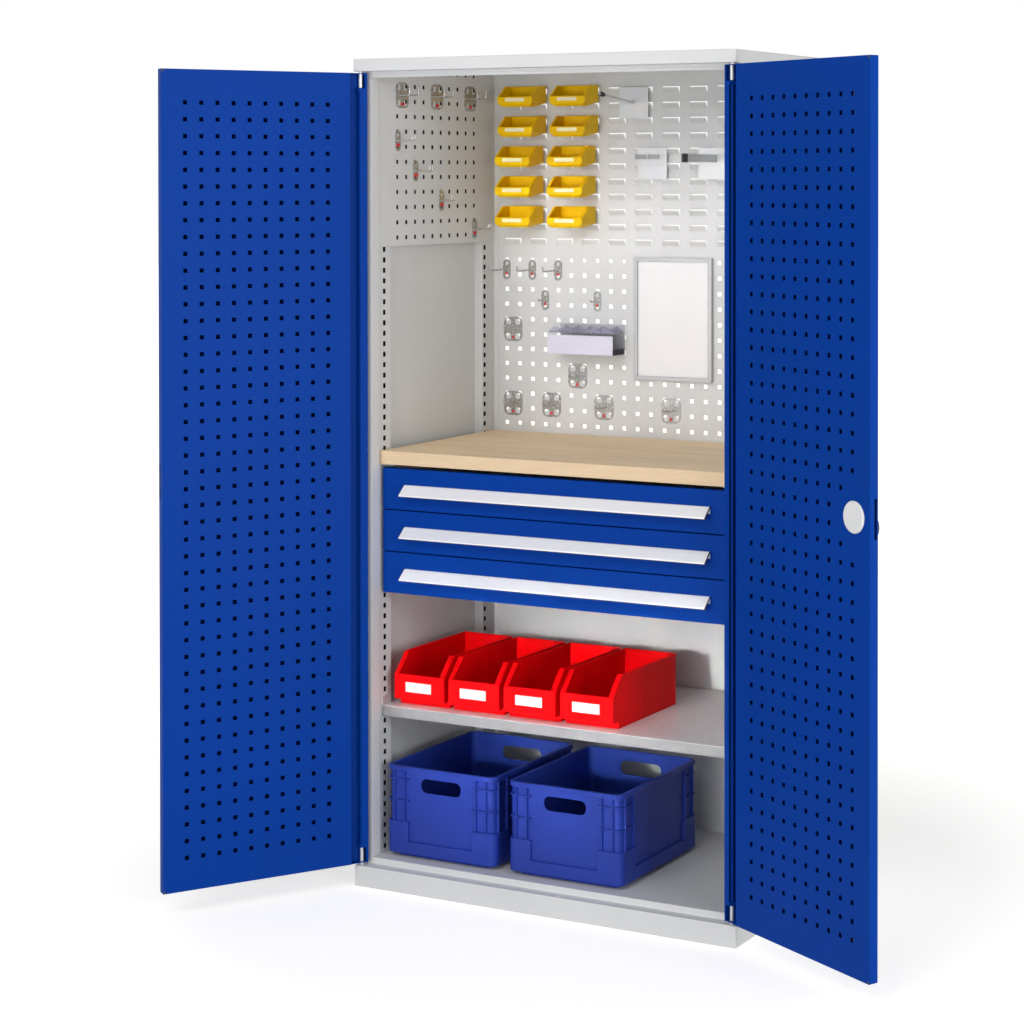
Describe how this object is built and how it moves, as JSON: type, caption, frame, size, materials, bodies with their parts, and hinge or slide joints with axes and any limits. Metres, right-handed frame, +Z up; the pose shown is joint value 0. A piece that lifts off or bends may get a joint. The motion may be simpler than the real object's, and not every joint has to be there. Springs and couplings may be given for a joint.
{
  "type": "tool cabinet",
  "caption": "Free-standing steel tool cabinet with perforated swing doors, worktop, drawers, shelf, hanging bins and crates.",
  "frame": {"origin": "middle of the carcass's footprint, on the ground", "axes": "+Z up, the doors face -Y, +X to the right of someone who faces the doors"},
  "size_m": [1.6746, 1.0042, 1.95],
  "materials": {
    "grey_paint": "light grey powder coat, fine texture",
    "blue_paint": "gentian blue powder coat, fine texture",
    "galvanised": "galvanised sheet",
    "zinc": "bright zinc plate",
    "aluminium": "satin anodised profile",
    "beech": "lacquered beech multiplex",
    "red_plastic": "moulded bin",
    "yellow_plastic": "moulded bin",
    "blue_plastic": "moulded crate",
    "black_plastic": "moulded plastic",
    "pale_plastic": "moulded cover"
  },
  "bodies": {
    "carcass": {"side_wall_left": "grey_paint", "side_wall_right": "grey_paint", "roof": "grey_paint", "plinth": "grey_paint", "floor_pan": "grey_paint", "rear_wall_lower": "grey_paint", "rear_perforated_panel": "grey_paint", "rear_louvre_panel": "grey_paint", "side_panel_left": "grey_paint", "side_panel_right": "grey_paint", "slotted_posts": "grey_paint", "worktop": "beech", "worktop_brackets": "zinc", "shelf": "galvanised", "shelf_clips": "zinc", "runner_outer_rails": "zinc", "hinge_pins": "zinc", "levelling_feet": "black_plastic", "panel_screws": "zinc", "tool_hooks": "zinc", "pen_tray": "aluminium", "document_frame": "aluminium", "tool_holders": "zinc", "louvre_bins": "yellow_plastic"},
    "door_left": {"door_left_shell": "blue_paint", "door_left_panel": "blue_paint", "door_left_bushes": "black_plastic"},
    "door_right": {"door_right_shell": "blue_paint", "door_right_panel": "blue_paint", "door_right_bushes": "black_plastic", "lock_case": "zinc", "rod_guides": "black_plastic", "lock_cover": "pale_plastic", "handle_rosette": "black_plastic"},
    "handle": {"handle_grip": "black_plastic", "lock_cam": "zinc"},
    "lock_core": {"lock_cylinder": "zinc"},
    "rod_upper": {"upper_rod": "zinc"},
    "rod_lower": {"lower_rod": "zinc"},
    "drawer_1": {"drawer_tray_1": "grey_paint", "drawer_front_1": "blue_paint", "drawer_grip_1": "aluminium", "inner_rails_1": "zinc"},
    "runner_mid_1": {"mid_rails_1": "zinc"},
    "drawer_2": {"drawer_tray_2": "grey_paint", "drawer_front_2": "blue_paint", "drawer_grip_2": "aluminium", "inner_rails_2": "zinc"},
    "runner_mid_2": {"mid_rails_2": "zinc"},
    "drawer_3": {"drawer_tray_3": "grey_paint", "drawer_front_3": "blue_paint", "drawer_grip_3": "aluminium", "inner_rails_3": "zinc"},
    "runner_mid_3": {"mid_rails_3": "zinc"},
    "bin_1": {"shelf_bin_1": "red_plastic"},
    "bin_2": {"shelf_bin_2": "red_plastic"},
    "bin_3": {"shelf_bin_3": "red_plastic"},
    "bin_4": {"shelf_bin_4": "red_plastic"},
    "box_crate_1": {"crate_1": "blue_plastic"},
    "box_crate_2": {"crate_2": "blue_plastic"}
  },
  "joints": [
    {"name": "left_door_hinge", "type": "hinge", "parent": "carcass", "child": "door_left", "pos_m": [-0.4865, -0.29, 0.975], "axis": [0, 0, -1], "range_deg": [-122.6, 57.4]},
    {"name": "right_door_hinge", "type": "hinge", "parent": "carcass", "child": "door_right", "pos_m": [0.4865, -0.29, 0.975], "axis": [0, 0, 1], "range_deg": [-152.1, 27.9]},
    {"name": "handle_turn", "type": "hinge", "parent": "door_right", "child": "handle", "pos_m": [0.87094, -0.49355, 0.9885], "axis": [0.4679, 0.8838, 0], "range_deg": [0, 90]},
    {"name": "lock_core_turn", "type": "hinge", "parent": "handle", "child": "lock_core", "pos_m": [0.87094, -0.49355, 0.9885], "axis": [0.4679, 0.8838, 0], "range_deg": [0, 90]},
    {"name": "upper_rod_slide", "type": "slide", "parent": "door_right", "child": "rod_upper", "axis": [0, 0, 1], "range_m": [0, 0.0198]},
    {"name": "lower_rod_slide", "type": "slide", "parent": "door_right", "child": "rod_lower", "axis": [0, 0, -1], "range_m": [0, 0.0198]},
    {"name": "drawer_1_slide", "type": "slide", "parent": "carcass", "child": "drawer_1", "axis": [0, -1, 0], "range_m": [0, 0.4]},
    {"name": "runner_mid_1_slide", "type": "slide", "parent": "carcass", "child": "runner_mid_1", "axis": [0, -1, 0], "range_m": [0, 0.2]},
    {"name": "drawer_2_slide", "type": "slide", "parent": "carcass", "child": "drawer_2", "axis": [0, -1, 0], "range_m": [0, 0.4]},
    {"name": "runner_mid_2_slide", "type": "slide", "parent": "carcass", "child": "runner_mid_2", "axis": [0, -1, 0], "range_m": [0, 0.2]},
    {"name": "drawer_3_slide", "type": "slide", "parent": "carcass", "child": "drawer_3", "axis": [0, -1, 0], "range_m": [0, 0.4]},
    {"name": "runner_mid_3_slide", "type": "slide", "parent": "carcass", "child": "runner_mid_3", "axis": [0, -1, 0], "range_m": [0, 0.2]},
    {"name": "shelf_bin_1_slide", "type": "slide", "parent": "carcass", "child": "bin_1", "axis": [0, -1, 0], "range_m": [0, 0.2]},
    {"name": "shelf_bin_2_slide", "type": "slide", "parent": "carcass", "child": "bin_2", "axis": [0, -1, 0], "range_m": [0, 0.2]},
    {"name": "shelf_bin_3_slide", "type": "slide", "parent": "carcass", "child": "bin_3", "axis": [0, -1, 0], "range_m": [0, 0.2]},
    {"name": "shelf_bin_4_slide", "type": "slide", "parent": "carcass", "child": "bin_4", "axis": [0, -1, 0], "range_m": [0, 0.2]},
    {"name": "crate_1_slide", "type": "slide", "parent": "carcass", "child": "box_crate_1", "axis": [0, -1, 0], "range_m": [0, 0.25]},
    {"name": "crate_2_slide", "type": "slide", "parent": "carcass", "child": "box_crate_2", "axis": [0, -1, 0], "range_m": [0, 0.25]}
  ],
  "couplings": [
    {"joint": "upper_rod_slide", "follows": "handle_turn", "m_per_rad": 0.0126},
    {"joint": "lower_rod_slide", "follows": "handle_turn", "m_per_rad": 0.0126},
    {"joint": "runner_mid_1_slide", "follows": "drawer_1_slide", "ratio": 0.5},
    {"joint": "runner_mid_2_slide", "follows": "drawer_2_slide", "ratio": 0.5},
    {"joint": "runner_mid_3_slide", "follows": "drawer_3_slide", "ratio": 0.5}
  ]
}
